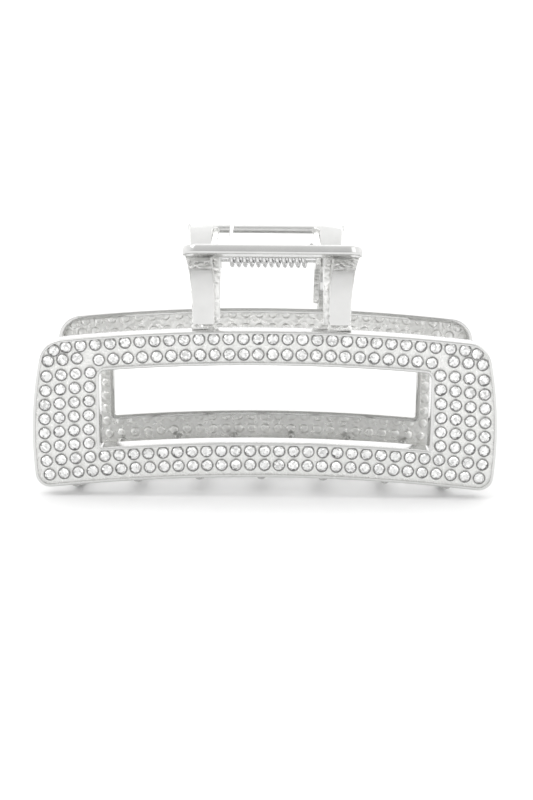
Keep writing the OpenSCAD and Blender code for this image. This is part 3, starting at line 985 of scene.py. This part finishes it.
def build_spring(scene):
    """The torsion spring: a wire circle spun into turns, with a straight arm at each end."""
    hinge, get = scene.clip_hinge, finishes(scene)
    low, high = box("torsion_spring")
    middle = (low.x + high.x) / 2
    radius = (hinge.coil - hinge.wire) / 2
    half = hinge.turns * hinge.pitch / 2
    per_turn = 28
    steps = hinge.turns * per_turn
    bm = bmesh.new()
    start = Vector((middle - half, 0, HINGE.z + radius))
    face_y = Matrix.Rotation(math.pi / 2, 4, "X")
    ring = ring_at(bm, Matrix.Translation(start) @ face_y, hinge.wire / 2, 12)
    first = list({v for e in ring for v in e.verts})
    advance = (hinge.pitch / per_turn, 0, 0)
    made = bmesh.ops.spin(
        bm, geom=first + ring, cent=HINGE, axis=(1, 0, 0), dvec=advance,
        angle=math.tau * hinge.turns, steps=steps)
    last_edges = [e for e in made["geom_last"] if isinstance(e, bmesh.types.BMEdge)]
    for edges, towards in ((ring, 1), (last_edges, -1)):
        verts = None
        for part in (0.06, 0.94):
            grown = bmesh.ops.extrude_edge_only(bm, edges=edges)["geom"]
            verts = [v for v in grown if isinstance(v, bmesh.types.BMVert)]
            edges = [e for e in grown if isinstance(e, bmesh.types.BMEdge)]
            edges = [e for e in edges if all(v in verts for v in e.verts)]
            rise = hinge.arm_rise * (part if part > 0.5 else part * 0.5)
            bmesh.ops.translate(bm, verts=verts, vec=(0, towards * hinge.arm * part, rise))
        bmesh.ops.contextual_create(bm, geom=edges)
    bmesh.ops.remove_doubles(bm, verts=bm.verts, dist=1e-7)
    bmesh.ops.recalc_face_normals(bm, faces=bm.faces)
    smooth_by_angle(bm, math.radians(50))
    make_piece(bm, "torsion_spring", [get("wire")], "rear_half", "torsion_spring")


# Stage

def floor_material(scene):
    """Matt pale board with a faint tooth."""
    material, tree, shader, coords = start_material("Pale board")
    shader.inputs["Roughness"].default_value = 0.9
    shader.inputs["Specular IOR Level"].default_value = 0.2
    tooth = add_node(tree, "ShaderNodeTexNoise", (-700, 0))
    tooth.inputs["Scale"].default_value = 60
    tree.links.new(coords, tooth.inputs["Vector"])
    tint = scene.clip_finish.floor
    add_tone(tree, shader, tooth.outputs["Fac"], tint, [min(c * 1.01, 1) for c in tint])
    return material


def add_light(name, place, target, size, power):
    """A soft square light that shines at a target."""
    lamp = bpy.data.lights.new(name, "AREA")
    lamp.shape = "RECTANGLE"
    lamp.size, lamp.size_y = size
    lamp.energy = power
    light = bpy.data.objects.new(name, lamp)
    light.location = place
    light.rotation_euler = (Vector(target) - Vector(place)).to_track_quat("-Z", "Y").to_euler()
    bpy.context.scene.collection.objects.link(light)


def build_stage(scene):
    """Pale floor, soft light all round and the camera."""
    stage = scene.clip_stage
    bm = bmesh.new()
    bmesh.ops.create_circle(bm, cap_ends=True, segments=96, radius=6)
    mesh = bpy.data.meshes.new("floor")
    bm.to_mesh(mesh)
    bm.free()
    mesh.materials.append(floor_material(scene))
    floor = bpy.data.objects.new("floor", mesh)
    scene.collection.objects.link(floor)

    world = bpy.data.worlds.new("Soft studio")
    scene.world = world
    world.use_nodes = True
    tree = world.node_tree
    background = tree.nodes["Background"]
    background.inputs["Strength"].default_value = stage.world
    way = add_node(tree, "ShaderNodeTexCoord", (-900, 0))
    split = add_node(tree, "ShaderNodeSeparateXYZ", (-700, 0))
    tree.links.new(way.outputs["Generated"], split.inputs["Vector"])
    place = add_node(tree, "ShaderNodeMapRange", (-500, 0))
    place.inputs["From Min"].default_value = -1
    tree.links.new(split.outputs["Y"], place.inputs["Value"])
    ramp = add_node(tree, "ShaderNodeValToRGB", (-300, 0))
    ramp.color_ramp.elements[0].color = (0.5, 0.5, 0.5, 1)
    ramp.color_ramp.elements[1].color = (1, 1, 1, 1)
    ramp.color_ramp.elements.new(0.35).color = (0.85, 0.85, 0.85, 1)
    tree.links.new(place.outputs["Result"], ramp.inputs["Fac"])
    tree.links.new(ramp.outputs["Color"], background.inputs["Color"])

    target = Vector((stage.target_x, 0, stage.target_z))
    add_light("key", (-0.5, -0.45, 0.75), target, (0.5, 0.5), 1.2)
    add_light("fill", (0.6, -0.5, 0.4), target, (0.5, 0.5), 0.5)
    add_light("back", (0.1, 0.7, 0.6), target, (0.6, 0.3), 0.8)

    lens = bpy.data.cameras.new("camera")
    lens.lens = stage.focal
    lens.sensor_width = 36
    camera = bpy.data.objects.new("camera", lens)
    back = Vector((0, -math.cos(stage.elevation), math.sin(stage.elevation)))
    camera.location = target + back * stage.distance
    level = (-back).to_track_quat("-Z", "Y")
    camera.rotation_euler = (level @ Quaternion((0, 0, 1), stage.roll)).to_euler()
    lens.clip_start, lens.clip_end = 0.01, 50
    scene.collection.objects.link(camera)
    scene.camera = camera
    scene.view_settings.view_transform = "Standard"


# Operators, panel and registration

class CLIP_OT_jaws(bpy.types.Operator):
    """Build both stone-set jaws with their cups"""

    bl_idname = "clip.jaws"
    bl_label = "Jaws"

    def execute(self, context):
        for side in SIDES:
            build_jaw(context.scene, side)
        return {"FINISHED"}


class CLIP_OT_stones(bpy.types.Operator):
    """Cut a stone and set it in every cup"""

    bl_idname = "clip.stones"
    bl_label = "Stones"

    def execute(self, context):
        pattern = cut_stone(context.scene.clip_stone)
        for side, group in product(SIDES, STONE_GROUPS):
            build_stones(context.scene, side, group, pattern)
        bpy.data.meshes.remove(pattern)
        return {"FINISHED"}


class CLIP_OT_teeth(bpy.types.Operator):
    """Build both rows of teeth"""

    bl_idname = "clip.teeth"
    bl_label = "Teeth"

    def execute(self, context):
        for side in SIDES:
            build_teeth(context.scene, side)
        return {"FINISHED"}


class CLIP_OT_handles(bpy.types.Operator):
    """Build both finger handles with their hinge ears and solder"""

    bl_idname = "clip.handles"
    bl_label = "Handles"

    def execute(self, context):
        for side in SIDES:
            build_handle(context.scene, side)
            build_solder(context.scene, side)
        return {"FINISHED"}


class CLIP_OT_hinge(bpy.types.Operator):
    """Build the hinge pin and the torsion spring"""

    bl_idname = "clip.hinge"
    bl_label = "Pin and spring"

    def execute(self, context):
        build_pin(context.scene)
        build_spring(context.scene)
        return {"FINISHED"}


class CLIP_OT_stage(bpy.types.Operator):
    """Lay the floor and place the light and the camera"""

    bl_idname = "clip.stage"
    bl_label = "Stage"

    def execute(self, context):
        build_stage(context.scene)
        return {"FINISHED"}


OPERATORS = (CLIP_OT_jaws, CLIP_OT_stones, CLIP_OT_teeth, CLIP_OT_handles, CLIP_OT_hinge, CLIP_OT_stage)


class CLIP_PT_panel(bpy.types.Panel):
    """Buttons and sizes of the claw clip"""

    bl_idname = "CLIP_PT_panel"
    bl_label = "Claw Clip"
    bl_space_type = "VIEW_3D"
    bl_region_type = "UI"
    bl_category = "Claw Clip"

    def draw(self, context):
        for operator in OPERATORS:
            self.layout.operator(operator.bl_idname)
        for name in SETTINGS:
            group = getattr(context.scene, name)
            column = self.layout.column(align=True)
            for key in group.bl_rna.properties.keys():
                if key not in ("rna_type", "name"):
                    column.prop(group, key)


def register():
    for cls in (*SETTINGS.values(), *OPERATORS, CLIP_PT_panel):
        bpy.utils.register_class(cls)
    for name, cls in SETTINGS.items():
        setattr(bpy.types.Scene, name, bpy.props.PointerProperty(type=cls))


def unregister():
    for name in SETTINGS:
        delattr(bpy.types.Scene, name)
    for cls in reversed((*SETTINGS.values(), *OPERATORS, CLIP_PT_panel)):
        bpy.utils.unregister_class(cls)


def main():
    register()
    bpy.ops.clip.stage()
    bpy.ops.clip.jaws()
    bpy.ops.clip.stones()
    bpy.ops.clip.teeth()
    bpy.ops.clip.handles()
    bpy.ops.clip.hinge()


if __name__ == "__main__":
    main()
